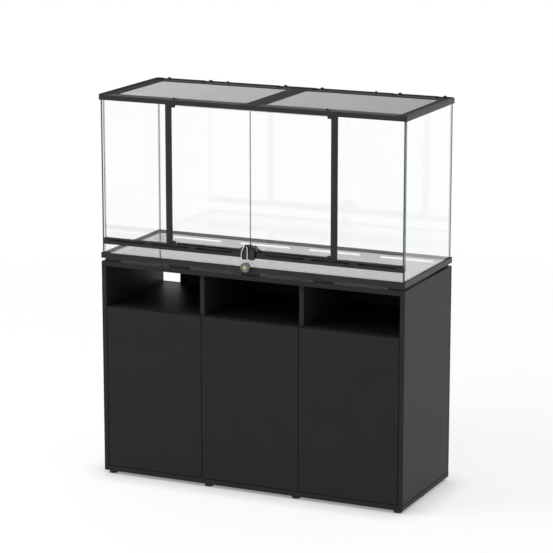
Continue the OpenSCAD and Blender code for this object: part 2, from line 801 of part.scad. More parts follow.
// Silicone fillets in the tank's inner corners
module silicone_seams() {
    color([0.75, 0.78, 0.76, 0.6]) {
        for (s = [-1, 1]) on_side(s) {
            seam_up(pane_x, tank_y - glass_t, -1, -1, base_z1, top_z0);
            seam_up(pane_x, front_pane_y1, -1, 1, vent_z1, top_z0);
            translate([pane_x, low_pane_y1, base_z1]) rotate([90, 0, 0]) mirror([0, 0, 1])
                linear_extrude(tank_y - glass_t - low_pane_y1)
                    polygon([[0, 0], [-seam_leg, 0], [0, seam_leg]]);
        }
        translate([-pane_x, tank_y - glass_t, base_z1]) rotate([90, 0, 90]) linear_extrude(2 * pane_x)
            polygon([[0, 0], [-seam_leg, 0], [0, seam_leg]]);
    }
}

// ---------------------------------------------------------------- glass doors

module glass_door(s) {
    color(GLASS) on_side(s) difference() {
        slab(gdoor_x0, gdoor_x1, front_pane_y0, front_pane_y1, gdoor_z0, gdoor_z1);
        rod_y(bolt_x, front_pane_y0 - CUT, front_pane_y1 + CUT, bolt_z, bolt_d / 2 + hole_clear);
    }
}

// One pivot clip around the glass door's lower hinge corner, with its pin pointing down
module pivot_clip() {
    y0 = front_pane_y0 - clip_wall;
    y1 = front_pane_y1 + clip_wall;
    z0 = vent_z1 + clip_gap;
    z1 = gdoor_z0 + clip_h;
    difference() {
        union() {
            slab(clip_x1 - clip_l, pivot_x, y0, y1, z0, z1);
            intersection() {
                slab(pivot_x - CUT, clip_x1, y0, y1, z0, z1);
                translate([pivot_x, pivot_y, z0]) cylinder(z1 - z0, swing_r, swing_r);
            }
        }
        slab(clip_x1 - clip_l - CUT, gdoor_x1, front_pane_y0, front_pane_y1, gdoor_z0, z1 + CUT);
    }
    translate([pivot_x, pivot_y, vent_z1 - pivot_reach])
        cylinder(pivot_reach + clip_gap + 0.5, pivot_d / 2, pivot_d / 2);
}

module door_pivots(s) {
    color(BLACK) on_side(s) {
        pivot_clip();
        translate([0, 0, vent_z1 + top_z0]) mirror([0, 0, 1]) pivot_clip();
    }
}

// A flared finger grip on the door's lower inner corner, with a hasp in front of the vent bar,
// an eye for the lock, and a backing washer behind the glass
module door_handle(s) {
    x1 = gdoor_x0 + handle_w;
    z_top = gdoor_z0 + handle_h;
    grip_y0 = hasp_y0 + 4;
    color(BLACK) on_side(s) {
        difference() {
            union() {
                translate([0, front_pane_y0, 0]) rotate([90, 0, 0]) linear_extrude(front_pane_y0 - grip_y0)
                    polygon([
                        [gdoor_x0, gdoor_z0], [x1, gdoor_z0], [x1, gdoor_z0 + 6], [x1 - 1.5, gdoor_z0 + 7.5],
                        [gdoor_x0 + 5, z_top - 1], [gdoor_x0 + 2.5, z_top], [gdoor_x0, z_top]
                    ]);
                translate([gdoor_x0, hasp_y1, vent_z1 - hasp_drop]) rotate([90, 0, 0]) linear_extrude(hasp_t)
                    soft_rect(hasp_w, gdoor_z0 + 6 - vent_z1 + hasp_drop, 4);
                slab(gdoor_x0, gdoor_x0 + hasp_w, hasp_y0, front_pane_y0, gdoor_z0, gdoor_z0 + 6);
                rod_x(eye_x - eye_t / 2, eye_x + eye_t / 2, eye_y, eye_z, eye_r);
                slab(eye_x - eye_t / 2, eye_x + eye_t / 2, eye_y, grip_y0 + 2, eye_z - 5, eye_z + eye_r);
                rod_y(bolt_x, front_pane_y0 - CUT, front_pane_y1, bolt_z, bolt_d / 2);
            }
            rod_x(eye_x - eye_t, eye_x + eye_t, eye_y, eye_z, eye_hole_r);
            // A hollow for the finger along the front of the grip
            rod_x(gdoor_x0 + hasp_w + 1, x1 + CUT, grip_y0 - 7.5, gdoor_z0 + 9, 10);
        }
        rod_y(bolt_x, front_pane_y1, front_pane_y1 + 3, bolt_z, 7);
    }
}

// ---------------------------------------------------------------- lock

// The cable in its own plane, in x and z from the apex: from the left leg's foot up the long
// left arc, over the eye and straight down to the right leg's foot
LEFT_ARC = [for (a = [180 + loop_end:-5:90]) [loop_w * cos(a), loop_half_h * (sin(a) - 1)]];
RIGHT_ARC = [for (a = [75:-15:0]) [loop_bend_r * cos(a), loop_bend_r * (sin(a) - 1)]];
foot_z = LEFT_ARC[0][1] - leg_in;
LOOP = concat([[LEFT_ARC[0][0], foot_z]], LEFT_ARC, RIGHT_ARC, [[loop_bend_r, foot_z]]);
loop_last = len(LOOP) - 1;

// The loop's outward direction at point i
function loop_out(i) =
    i == 0 ? [-1, 0, 0] : i == loop_last ? [1, 0, 0] :
    let (d = LOOP[i + 1] - LOOP[i - 1]) [-d[1], 0, d[0]] / norm(d);

module lock_shackle() {
    sides = 8;
    ring = [
        for (i = [0:loop_last], k = [0:sides - 1])
            let (a = 360 * k / sides)
            [LOOP[i][0] - eye_x, eye_y, LOOP[i][1] + loop_apex_z]
                + cable_d / 2 * (cos(a) * loop_out(i) - sin(a) * [0, 1, 0])
    ];
    quads = [
        for (i = [0:loop_last - 1], k = [0:sides - 1])
            let (a = i * sides + k, b = i * sides + (k + 1) % sides)
            each [[a, b, a + sides], [b, b + sides, a + sides]]
    ];
    ends = [
        for (k = [1:sides - 2]) each [
            [0, k + 1, k],
            [loop_last * sides, loop_last * sides + k, loop_last * sides + k + 1]
        ]
    ];
    color(STEEL) polyhedron(ring, concat(quads, ends));
}

module lock_body() {
    y0 = eye_y - lock_t / 2;
    color([0.45, 0.46, 0.48]) difference() {
        translate([lock_x, y0, lock_z]) rotate([-90, 0, 0]) rotate_extrude() polygon([
            [0, 0.8], [lock_d / 2 - 5, 0.8], [lock_d / 2 - 4, 0], [lock_d / 2 - 1.5, 0], [lock_d / 2, 1.5],
            [lock_d / 2, lock_t - 1.5], [lock_d / 2 - 1.5, lock_t], [0, lock_t]
        ]);
        rod_y(lock_x, y0 - CUT, y0 + key_depth, lock_z, key_d / 2 + running_clear);
        for (x = [LEFT_ARC[0][0], loop_bend_r]) translate([x - eye_x, eye_y, loop_apex_z + foot_z]) {
            cylinder(loop_h, cable_d / 2 + 0.4, cable_d / 2 + 0.4);
            translate([-cable_d / 2 - 2, -cable_d / 2 - 0.6, leg_in - 2]) cube([cable_d + 4, cable_d + 1.2, lock_d]);
        }
    }
}

module lock_key_plug() {
    y0 = eye_y - lock_t / 2;
    color(STEEL) difference() {
        rod_y(lock_x, y0 - 0.5, y0 + key_depth - 0.2, lock_z, key_d / 2);
        slab(lock_x - 0.9, lock_x + 0.9, y0 - CUT, y0 + 3.5, lock_z - 3.8, lock_z + 3.8);
    }
}

// ---------------------------------------------------------------- top frame, lids and inlets

// Each inlet's opening edges along X
function inlet_x1(i) = TAB_X[i] - inlet_edge;
function inlet_x0(i) = inlet_x1(i) - inlet_w;

module top_frame() {
    side_groove_x = pane_x - groove_clear;
    color(FRAME) difference() {
        round_block(frame_x, frame_y, top_z0, top_z1, frame_corner_r);
        slab(-recess_x, recess_x, recess_y0, recess_y1, lid_seat_z, top_z1 + CUT);
        slab(-recess_x + lid_ledge, recess_x - lid_ledge, recess_y0 + lid_ledge, recess_y1 - lid_ledge,
            top_z0 - CUT, top_z1);
        for (s = [-1, 1]) on_side(s) {
            slab(side_groove_x, tank_x + groove_clear, -tank_y - groove_clear, tank_y + groove_clear,
                top_z0 - CUT, pane_top_z);
            slab(post_x1 - post_groove - groove_clear, side_groove_x + CUT, front_pane_y0 - groove_clear,
                front_pane_y1 + groove_clear, top_z0 - CUT, pane_top_z);
            translate([pivot_x, pivot_y, top_z0 - CUT])
                cylinder(pivot_reach + 1 + CUT, pivot_d / 2 + running_clear, pivot_d / 2 + running_clear);
        }
        slab(-side_groove_x - CUT, side_groove_x + CUT, tank_y - glass_t - groove_clear,
            tank_y + groove_clear, top_z0 - CUT, pane_top_z);
        for (i = [0:5]) inlet_cut(i);
    }
}

// The opening of one inlet, over the rear rail and down inside it, and the track of its shutter
module inlet_cut(i) {
    x0 = inlet_x0(i);
    x1 = inlet_x1(i);
    track_x1 = x1 + tab_w + shutter_travel + 1;
    slab(x0, x1, recess_y1 - CUT, frame_y + CUT, lid_seat_z, top_z1 + CUT);
    slab(x0, x1, recess_y1 - lid_ledge - CUT, recess_y1, top_z0 - CUT, lid_seat_z + CUT);
    slab(x0 - 1, track_x1, shutter_y0 - shutter_clear, frame_y + CUT, groove_z1, top_z1 + CUT);
    slab(x0 - 1, track_x1, shutter_y0 - shutter_clear, shutter_y1 + shutter_clear, shutter_z0, groove_z1 + CUT);
}

module inlet_shutter(i) {
    x0 = inlet_x0(i) - shutter_over;
    x1 = inlet_x1(i) + tab_w;
    tab_z1 = trim_z1 + tab_up;
    color(BLACK) {
        slab(x0, x1, shutter_y0, shutter_y1, shutter_z0 + shutter_clear, shutter_z1);
        translate([TAB_X[i], frame_y + tab_out, 0]) rotate([90, 0, 0])
            linear_extrude(frame_y + tab_out - shutter_y0) polygon([
                [-tab_w / 2, top_z1 - 5], [tab_w / 2, top_z1 - 5], [tab_w / 2, trim_z1],
                [tab_w / 4, tab_z1], [-tab_w / 4, tab_z1], [-tab_w / 2, trim_z1]
            ]);
    }
}

// A black strip on the frame's sides and rear, notched beside each shutter's tab
module rim_trim() {
    color(BLACK) difference() {
        round_block(trim_x1, trim_y1, top_z1, trim_z1, trim_t);
        slab(-trim_x1 + trim_t, trim_x1 - trim_t, -trim_y1 - CUT, trim_y1 - trim_t, top_z1 - CUT, trim_z1 + CUT);
        for (i = [0:5]) {
            slab(inlet_x1(i) - notch_w, inlet_x1(i), trim_y1 - trim_t - CUT, trim_y1 + CUT,
                top_z1 + trim_floor, trim_z1 + CUT);
        }
    }
    color(BLACK) for (s = [-1, 1]) on_side(s) {
        slab(trim_x1 - trim_t, trim_x1, trim_y0, -trim_y1 + 2 * trim_t, top_z1, trim_z1);
    }
}

// A bar across the opening, resting on the frame's ledges, with a ledge of its own on each side
module lid_crossbar() {
    color(FRAME) {
        slab(-crossbar_w / 2, crossbar_w / 2, recess_y0, recess_y1, lid_seat_z, top_z1);
        slab(-crossbar_w / 2 - lid_ledge, crossbar_w / 2 + lid_ledge, recess_y0 + lid_ledge,
            recess_y1 - lid_ledge, top_z0, lid_seat_z);
    }
}

module lid_frame(s) {
    color(FRAME) difference() {
        on_side(s) difference() {
            slab(lid_x0, lid_x1, lid_y0, lid_y1, lid_seat_z, lid_z1);
            slab(mesh_x0, mesh_x1, mesh_y0, mesh_y1, lid_seat_z - CUT, lid_z1 + CUT);
            slab(mesh_x0 - mesh_grip, mesh_x1 + mesh_grip, mesh_y0 - mesh_grip, mesh_y1 + mesh_grip,
                mesh_z0, mesh_z0 + mesh_t);
        }
        for (i = [0:5]) {
            slab(inlet_x0(i), inlet_x1(i), recess_y1 - lid_ledge, lid_y1 + CUT, lid_seat_z - CUT, lid_z1 + CUT);
        }
    }
    color(BLACK) on_side(s) {
        lid_tab([
            [lid_y0 + 8, lid_z1 - 0.5], [lid_y0 + 6, top_z1 + 0.2 + lid_tab_t],
            [lid_tab_front_y + lid_tab_t, top_z1 + 0.2 + lid_tab_t], [lid_tab_front_y + lid_tab_t, lid_tab_z1],
            [lid_tab_front_y, lid_tab_z1], [lid_tab_front_y, top_z1 + 0.2], [lid_y0, top_z1 + 0.2],
            [lid_y0, lid_z1 - 0.5]
        ]);
        lid_tab([
            [lid_y1 - 8, lid_z1 - 0.5], [lid_y1, lid_z1 - 0.5], [lid_y1, top_z1 + 0.2],
            [lid_tab_back_y, top_z1 + 0.2], [lid_tab_back_y, lid_tab_z1], [lid_tab_back_y - lid_tab_t, lid_tab_z1],
            [lid_tab_back_y - lid_tab_t, top_z1 + 0.2 + lid_tab_t], [lid_y1 - 6, top_z1 + 0.2 + lid_tab_t]
        ]);
    }
}

// A lifting tab at the middle of a lid, from its outline in depth and height
module lid_tab(outline) {
    translate([lid_tab_x - lid_tab_w / 2, 0, 0]) rotate([90, 0, 90]) linear_extrude(lid_tab_w)
        polygon(outline);
}

module lid_mesh(s) {
    color(MESH) on_side(s) slab(mesh_x0 - mesh_grip, mesh_x1 + mesh_grip, mesh_y0 - mesh_grip,
        mesh_y1 + mesh_grip, mesh_z0, mesh_z0 + mesh_t);
}

// ---------------------------------------------------------------- assembly

bottom_panel();
side_panel(-1);  // left_side_panel
side_panel(1);  // right_side_panel
top_panel();
divider(-1);  // left_divider
divider(1);  // right_divider
back_panel();
niche_floors();
adjustable_shelves();
shelf_pins();
levelling_feet();
back_panel_screws();
door_panel(0);  // left_door
door_panel(1);  // middle_door
door_panel(2);  // right_door
hinge_cups(0);  // left_hinge_cups
hinge_cups(1);  // middle_hinge_cups
hinge_cups(2);  // right_hinge_cups
door_hinge_arms();
push_latch_housings();
latch_plunger(0);  // left_latch_plunger
latch_plunger(1);  // middle_latch_plunger
latch_plunger(2);  // right_latch_plunger
base_frame();
base_glass();
back_glass();
side_glass(-1);  // left_side_glass
side_glass(1);  // right_side_glass
front_low_glass();
front_pane(-1);  // left_front_pane
front_pane(1);  // right_front_pane
post(-1);  // left_post
post(1);  // right_post
vent_bar();
vent_bar_caps();
silicone_seams();
top_frame();
rim_trim();
lid_crossbar();
glass_door(-1);  // left_glass_door
glass_door(1);  // right_glass_door
door_pivots(-1);  // left_door_pivots
door_pivots(1);  // right_door_pivots
door_handle(-1);  // left_door_handle
door_handle(1);  // right_door_handle
lid_frame(-1);  // left_lid_frame
lid_mesh(-1);  // left_lid_mesh
lid_frame(1);  // right_lid_frame
lid_mesh(1);  // right_lid_mesh
inlet_shutter(0);  // inlet_shutter_1
inlet_shutter(1);  // inlet_shutter_2
inlet_shutter(2);  // inlet_shutter_3
inlet_shutter(3);  // inlet_shutter_4
inlet_shutter(4);  // inlet_shutter_5
inlet_shutter(5);  // inlet_shutter_6
lock_body();
lock_shackle();
lock_key_plug();
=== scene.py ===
"""Looks of the terrarium cabinet: camera, light, and the finish of every piece, in metres."""

import json
import math

import bmesh
import bpy
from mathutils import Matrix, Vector

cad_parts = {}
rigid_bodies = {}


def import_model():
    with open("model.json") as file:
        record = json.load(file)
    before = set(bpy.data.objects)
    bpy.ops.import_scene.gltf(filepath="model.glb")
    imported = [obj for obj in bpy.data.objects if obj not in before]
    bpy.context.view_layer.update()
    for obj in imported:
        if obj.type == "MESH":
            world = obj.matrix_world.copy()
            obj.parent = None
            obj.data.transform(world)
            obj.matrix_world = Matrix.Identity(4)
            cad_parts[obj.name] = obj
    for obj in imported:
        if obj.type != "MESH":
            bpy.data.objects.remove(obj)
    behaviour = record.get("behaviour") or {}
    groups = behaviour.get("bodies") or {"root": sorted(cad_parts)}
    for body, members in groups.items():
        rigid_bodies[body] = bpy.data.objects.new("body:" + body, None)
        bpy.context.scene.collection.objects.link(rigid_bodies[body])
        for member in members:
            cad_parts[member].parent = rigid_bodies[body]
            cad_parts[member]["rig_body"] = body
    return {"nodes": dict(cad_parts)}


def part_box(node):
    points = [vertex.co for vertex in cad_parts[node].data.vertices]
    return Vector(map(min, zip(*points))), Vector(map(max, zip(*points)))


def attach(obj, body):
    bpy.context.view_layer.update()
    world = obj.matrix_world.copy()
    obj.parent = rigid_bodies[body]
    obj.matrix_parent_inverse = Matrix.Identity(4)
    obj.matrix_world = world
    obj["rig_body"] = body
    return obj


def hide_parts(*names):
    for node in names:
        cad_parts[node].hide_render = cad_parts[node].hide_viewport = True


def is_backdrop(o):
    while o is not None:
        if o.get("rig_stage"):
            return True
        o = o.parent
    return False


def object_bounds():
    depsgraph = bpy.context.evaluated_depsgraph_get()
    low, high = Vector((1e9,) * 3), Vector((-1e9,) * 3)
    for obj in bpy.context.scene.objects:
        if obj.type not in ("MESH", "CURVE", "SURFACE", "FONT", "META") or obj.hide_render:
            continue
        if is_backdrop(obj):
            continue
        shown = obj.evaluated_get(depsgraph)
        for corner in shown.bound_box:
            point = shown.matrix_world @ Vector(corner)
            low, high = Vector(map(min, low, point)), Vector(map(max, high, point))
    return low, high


MM = 0.001

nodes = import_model()["nodes"]
cad_low, cad_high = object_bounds()

# ---------------------------------------------------------------- camera

CAMERA_AT = Vector((3.7039, -8.0636, 2.7868))
CAMERA_PITCH = 12.842  # degrees below the horizon
CAMERA_TURN = 24.657  # degrees round to the right of the front
LENS = 161.63  # mm
SENSOR = 36  # mm
CLIP = (0.05, 200)


def make_camera():
    data = bpy.data.cameras.new("camera")
    data.sensor_width = SENSOR
    data.lens = LENS
    data.clip_start, data.clip_end = CLIP
    camera = bpy.data.objects.new("camera", data)
    camera.location = CAMERA_AT
    camera.rotation_euler = (math.radians(90 - CAMERA_PITCH), 0, math.radians(CAMERA_TURN))
    bpy.context.scene.collection.objects.link(camera)
    bpy.context.scene.camera = camera


# ---------------------------------------------------------------- material tools

# The colour sockets of a Mix node
MIX_FACTOR, MIX_A, MIX_B, MIX_RESULT = 0, 6, 7, 2

# The part of a noise's values that a colour ramp spans
RAMP_FROM, RAMP_TO = 0.35, 0.65


class Material:
    """A material with one Principled shader and short calls for the nodes in front of it."""

    def __init__(self, name, **sockets):
        self.data = bpy.data.materials.new(name)
        self.data.use_nodes = True
        self.nodes = self.data.node_tree.nodes
        self.links = self.data.node_tree.links
        self.shader = self.nodes["Principled BSDF"]
        self.output = self.nodes["Material Output"]
        self.place = self.nodes.new("ShaderNodeTexCoord").outputs["Object"]
        for socket, value in sockets.items():
            self.shader.inputs[socket.replace("_", " ")].default_value = value

    def set(self, **sockets):
        """Links the shader's sockets to outputs."""
        for socket, value in sockets.items():
            self.links.new(value, self.shader.inputs[socket.replace("_", " ")])

    def node(self, kind, inputs=None, **settings):
        """A node whose inputs are outputs of others or plain values."""
        made = self.nodes.new(kind)
        for key, value in settings.items():
            setattr(made, key, value)
        for key, value in (inputs or {}).items():
            if isinstance(value, bpy.types.NodeSocket):
                self.links.new(value, made.inputs[key])
            else:
                made.inputs[key].default_value = value
        return made

    def noise(self, size, detail=3.0, stretch=(1, 1, 1), roughness=0.5):
        """Noise whose features are about size metres across."""
        scaled = self.node("ShaderNodeMapping", {"Vector": self.place, "Scale": stretch})
        made = self.node(
            "ShaderNodeTexNoise",
            {"Vector": scaled.outputs[0], "Scale": 1 / size, "Detail": detail, "Roughness": roughness},
        )
        return made.outputs["Fac"]

    def math(self, operation, a, b=0.0):
        return self.node("ShaderNodeMath", {0: a, 1: b}, operation=operation).outputs[0]

    def part(self, vector, axis):
        """One axis of a vector."""
        return self.node("ShaderNodeSeparateXYZ", {0: vector}).outputs["XYZ".index(axis)]

    def ramp(self, noise, low, high):
        """A colour between two, over the middle of a noise's values."""
        made = self.node("ShaderNodeValToRGB", {"Fac": noise})
        start, end = made.color_ramp.elements
        start.position, start.color = RAMP_FROM, low
        end.position, end.color = RAMP_TO, high
        return made.outputs["Color"]

    def range(self, factor, low, high, low_at=0.3, high_at=0.7):
        """Low to high while a factor goes from low_at to high_at."""
        made = self.node(
            "ShaderNodeMapRange",
            {"Value": factor, "From Min": low_at, "From Max": high_at, "To Min": low, "To Max": high},
        )
        return made.outputs["Result"]

    def fade(self, factor, low, high):
        """Low to high while a factor goes from 0 to 1."""
        return self.range(factor, low, high, 0.0, 1.0)

    def mix(self, factor, a, b, mode="MIX"):
        inputs = {MIX_FACTOR: factor, MIX_A: a, MIX_B: b}
        made = self.node("ShaderNodeMix", inputs, data_type="RGBA", blend_type=mode)
        return made.outputs[MIX_RESULT]

    def bump(self, height, depth, strength):
        """A bump from height, 0 to 1, over depth metres."""
        made = self.node("ShaderNodeBump", {"Height": height, "Strength": strength, "Distance": depth})
        self.set(Normal=made.outputs["Normal"])


def grey(level):
    """A grey as a screen shows it, 0 to 255, as linear RGBA by the sRGB curve."""
    shown = level / 255
    linear = (shown / 12.92) if level < 10.3 else ((shown + 0.055) / 1.055) ** 2.4
    return (linear, linear, linear, 1.0)


def tone(colour, factor):
    """A colour made lighter or darker."""
    return tuple(c * factor for c in colour[:3]) + (1.0,)


# ---------------------------------------------------------------- materials

# Linear colours
# painted shade: the board's grey darkened for the dim inside of the niches
SHADED_INNER_BOARD = grey(22)
BOARD = grey(38)
DOOR = grey(35)
FRAME = grey(27)
BLACK = grey(26)
GAUZE = grey(10)
LATCH_GREY = grey(96)
ZINC = (0.62, 0.63, 0.65, 1)
LOCK_METAL = (0.17, 0.17, 0.173, 1)
BRASS = (0.72, 0.56, 0.26, 1)
CABLE = (0.78, 0.78, 0.79, 1)
WIRE = ((0.34, 0.34, 0.35, 1), (0.5, 0.5, 0.51, 1))
CLEAR_GLASS = ((0.98, 0.99, 0.985, 1), (0.985, 0.995, 0.99, 1))
GROUND_GLASS = ((0.04, 0.075, 0.065, 1), (0.06, 0.11, 0.095, 1))
SILICONE = ((0.24, 0.3, 0.27, 1), (0.32, 0.38, 0.35, 1))
# the black of the painted shade in the board joints
JOINT_SHADE_RANGE = ((0.001, 0.001, 0.001, 1), (0.002, 0.002, 0.002, 1))

GLASS_IOR = 1.5
EVEN = (1, 1, 1)  # the stretch of a texture without lines
DRAWN = (1, 1, 14)  # of one with lines across Z

# The rails of the tank's top that run from front to rear, by their distance from its centre plane
MIDDLE_RAILS = 34 * MM
SIDE_RAILS = 560 * MM
RAIL_BLEND = 2 * MM


def board_material(name, colour, grain=1.0):
    """Melamine-faced board: an even dark film with fine light flecks and a pearl texture."""
    m = Material(name, Specular_IOR_Level=0.16)
    pearl = m.noise(0.9 * MM, detail=2.5)
    cloud = m.noise(90 * MM, detail=4)
    flecks = m.noise(2.6 * MM, detail=5, roughness=0.7)
    film = m.ramp(cloud, tone(colour, 0.94), tone(colour, 1.06))
    shown = m.range(flecks, low=0.0, high=0.3 * grain, low_at=0.55, high_at=0.8)
    m.set(Base_Color=m.mix(shown, film, tone(colour, 1.35)))
    m.set(Roughness=m.range(cloud, low=0.45, high=0.48))
    m.bump(pearl, depth=0.05 * MM, strength=0.25)
    return m.data


def frame_material(name, colour, rough):
    """Frame plastic: a satin sheen on upright faces, duller on top, dullest on the rails to the rear.
    Painted shade darkens the top faces, most on those rails.
    """
    m = Material(name, Specular_IOR_Level=0.34)
    skin = m.noise(0.7 * MM, detail=3)
    cloud = m.noise(60 * MM, detail=3)
    wear = m.range(m.noise(12 * MM, detail=4), low=-0.06, high=0.06)
    normal = m.node("ShaderNodeNewGeometry").outputs["True Normal"]
    top = m.range(m.part(normal, "Z"), low=0.0, high=1.0, low_at=0.6, high_at=0.9)
    across = m.math("ABSOLUTE", m.part(m.place, "X"))
    middle = m.range(across, 1.0, 0.0, MIDDLE_RAILS, MIDDLE_RAILS + RAIL_BLEND)
    side = m.range(across, 0.0, 1.0, SIDE_RAILS, SIDE_RAILS + RAIL_BLEND)
    to_rear = m.math("MAXIMUM", middle, side)
    # painted shade: the top faces' colour darkened, most on the rails that run to the rear
    top_painted_shade = m.math("MULTIPLY", top, m.fade(to_rear, low=0.2, high=0.5))
    shade = m.ramp(cloud, tone(colour, 0.9), tone(colour, 1.1))
    m.set(Base_Color=m.mix(1.0, shade, m.math("SUBTRACT", 1.0, top_painted_shade), mode="MULTIPLY"))
    upright_rough = m.math("ADD", wear, rough)
    top_rough = m.math("ADD", wear, m.fade(to_rear, low=0.62, high=0.92))
    m.set(Roughness=m.fade(top, upright_rough, top_rough))
    m.bump(skin, depth=0.04 * MM, strength=0.4)
    return m.data


def plastic_material(name, colour, rough=0.42):
    """Moulded plastic with a fine spark-eroded texture."""
    m = Material(name, Specular_IOR_Level=0.4)
    m.set(Base_Color=m.ramp(m.noise(14 * MM), tone(colour, 0.85), tone(colour, 1.15)))
    m.set(Roughness=m.range(m.noise(3 * MM), low=rough - 0.06, high=rough + 0.06))
    m.bump(m.noise(0.4 * MM, detail=2), depth=0.03 * MM, strength=0.6)
    return m.data


def steel_material(name, colour, rough, stretch):
    """Plated or drawn metal with a fine texture."""
    m = Material(name, Metallic=1.0)
    lines = m.noise(1.2 * MM, detail=4, stretch=stretch)
    m.set(Base_Color=m.ramp(lines, tone(colour, 0.82), tone(colour, 1.08)))
    m.set(Roughness=m.range(lines, low=rough - 0.08, high=rough + 0.12))
    m.bump(lines, depth=0.02 * MM, strength=0.4)
    return m.data


def bonded_glass_material(name):
    """A clear pane whose edges are covered by silicone, posts and frames."""
    m = Material(name, IOR=GLASS_IOR, Transmission_Weight=1.0, Roughness=0.0)
    m.set(Base_Color=m.ramp(m.noise(300 * MM), *CLEAR_GLASS))
    return m.data


def glass_material(name, across):
    """A clear pane. Off the axis across it are its ground edges, green and scattering light."""
    m = Material(name, IOR=GLASS_IOR)
    normal = m.node("ShaderNodeNewGeometry").outputs["True Normal"]
    own_normal = m.node(
        "ShaderNodeVectorTransform",
        {0: normal},
        vector_type="NORMAL",
        convert_from="WORLD",
        convert_to="OBJECT",
    )
    facing = m.math("ABSOLUTE", m.part(own_normal.outputs[0], across))
    edge = m.range(facing, low=1.0, high=0.0, low_at=0.4, high_at=0.6)
    m.set(Base_Color=m.mix(edge, CLEAR_GLASS[1], m.ramp(m.noise(2 * MM, detail=3), *GROUND_GLASS)))
    m.set(Roughness=m.fade(edge, low=0.0, high=0.6))
    m.set(Transmission_Weight=m.fade(edge, low=1.0, high=0.15))
    return m.data


def silicone_material(name):
    """Translucent sealant, see-through by its alpha, so that it doesn't bend light beside the glass."""
    m = Material(name, Roughness=0.35, Alpha=0.28)
    m.set(Base_Color=m.ramp(m.noise(8 * MM), *SILICONE))
    m.bump(m.noise(2 * MM), depth=0.1 * MM, strength=0.3)
    return m.data


def joint_shade_material(name):
    """Painted shade: the dull black line of the shadow in a board joint."""
    m = Material(name, Specular_IOR_Level=0.02)
    m.set(Base_Color=m.ramp(m.noise(5 * MM), *JOINT_SHADE_RANGE))
    m.set(Roughness=m.range(m.noise(3 * MM), low=0.85, high=0.95))
    return m.data


def wire_material(name):
    """Drawn stainless wire of the lid mesh."""
    m = Material(name, Metallic=1.0)
    lines = m.noise(0.8 * MM, detail=3)
    m.set(Base_Color=m.ramp(lines, *WIRE))
    m.set(Roughness=m.range(lines, low=0.38, high=0.55))
    return m.data


make_camera()

board = board_material("board", BOARD)
# a shaded copy of the board, as painted shade on the niches' back, floors and shelves
shaded_inner_board = board_material("shaded_inner_board", SHADED_INNER_BOARD)
door_board = board_material("door_board", DOOR, grain=0.8)
frame_plastic = frame_material("frame_plastic", FRAME, rough=0.36)
black_plastic = plastic_material("black_plastic", BLACK)
gauze = plastic_material("gauze", GAUZE, rough=0.8)
grey_plastic = plastic_material("grey_plastic", LATCH_GREY)
zinc = steel_material("zinc", ZINC, rough=0.3, stretch=DRAWN)
lock_metal = steel_material("lock_metal", LOCK_METAL, rough=0.34, stretch=EVEN)
brass = steel_material("lock_brass", BRASS, rough=0.25, stretch=EVEN)
cable_steel = steel_material("cable_steel", CABLE, rough=0.36, stretch=EVEN)
mesh_wire = wire_material("mesh_wire")
silicone = silicone_material("silicone")
# painted shade for the board joints
joint_shade_finish = joint_shade_material("painted_joint_shade")
glass_across = {axis: glass_material("glass_" + axis.lower(), axis) for axis in "XYZ"}
glass_bonded = bonded_glass_material("glass_bonded")

# ---------------------------------------------------------------- finish of the nodes

SHUTTERS = ["inlet_shutter_%d" % (i + 1) for i in range(6)]

FINISH = {
    board: [
        "bottom_panel", "left_side_panel", "right_side_panel", "top_panel", "left_divider",
        "right_divider",
    ],
    shaded_inner_board: ["back_panel", "niche_floors", "adjustable_shelves"],
    door_board: ["left_door", "middle_door", "right_door"],
    frame_plastic: [
        "base_frame", "left_post", "right_post", "vent_bar", "top_frame", "lid_crossbar",
        "left_lid_frame", "right_lid_frame",
    ],
    black_plastic: [
        "levelling_feet", "left_door_pivots", "right_door_pivots", "left_door_handle",
        "right_door_handle", "vent_bar_caps", "rim_trim", *SHUTTERS,
    ],
    grey_plastic: [
        "push_latch_housings", "left_latch_plunger", "middle_latch_plunger", "right_latch_plunger",
    ],
    zinc: [
        "shelf_pins", "back_panel_screws", "left_hinge_cups", "middle_hinge_cups",
        "right_hinge_cups", "door_hinge_arms",
    ],
    lock_metal: ["lock_body"],
    brass: ["lock_key_plug"],
    cable_steel: ["lock_shackle"],
    silicone: ["silicone_seams"],
    mesh_wire: ["left_lid_mesh", "right_lid_mesh"],
    glass_across["X"]: ["left_side_glass", "right_side_glass"],
    glass_across["Y"]: ["left_glass_door", "right_glass_door"],
    glass_bonded: ["back_glass", "front_low_glass", "left_front_pane", "right_front_pane"],
    glass_across["Z"]: ["base_glass"],
}


def give(piece, finish):
    piece.data.materials.clear()
    piece.data.materials.append(finish)


for finish, names in FINISH.items():
    for name in names:
        give(nodes[name], finish)


def add_piece(name, vertices, faces, finish, body, smooth=True):
    """A new piece from vertices in metres, on a body."""
    mesh = bpy.data.meshes.new(name)
    mesh.from_pydata([tuple(v) for v in vertices], [], faces)
    shape = bmesh.new()
    shape.from_mesh(mesh)
    bmesh.ops.recalc_face_normals(shape, faces=shape.faces)
    shape.to_mesh(mesh)
    shape.free()
    for polygon in mesh.polygons:
        polygon.use_smooth = smooth
    piece = bpy.data.objects.new(name, mesh)
    bpy.context.scene.collection.objects.link(piece)
    give(piece, finish)
    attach(piece, body)
    return piece


# ---------------------------------------------------------------- softened edges

WELD = 0.002 * MM
FLAT = math.radians(1)  # faces that turn less than this are one
SHARP = math.radians(30)  # edges that turn more than this are rounded
SOFT_SEGMENTS = 2

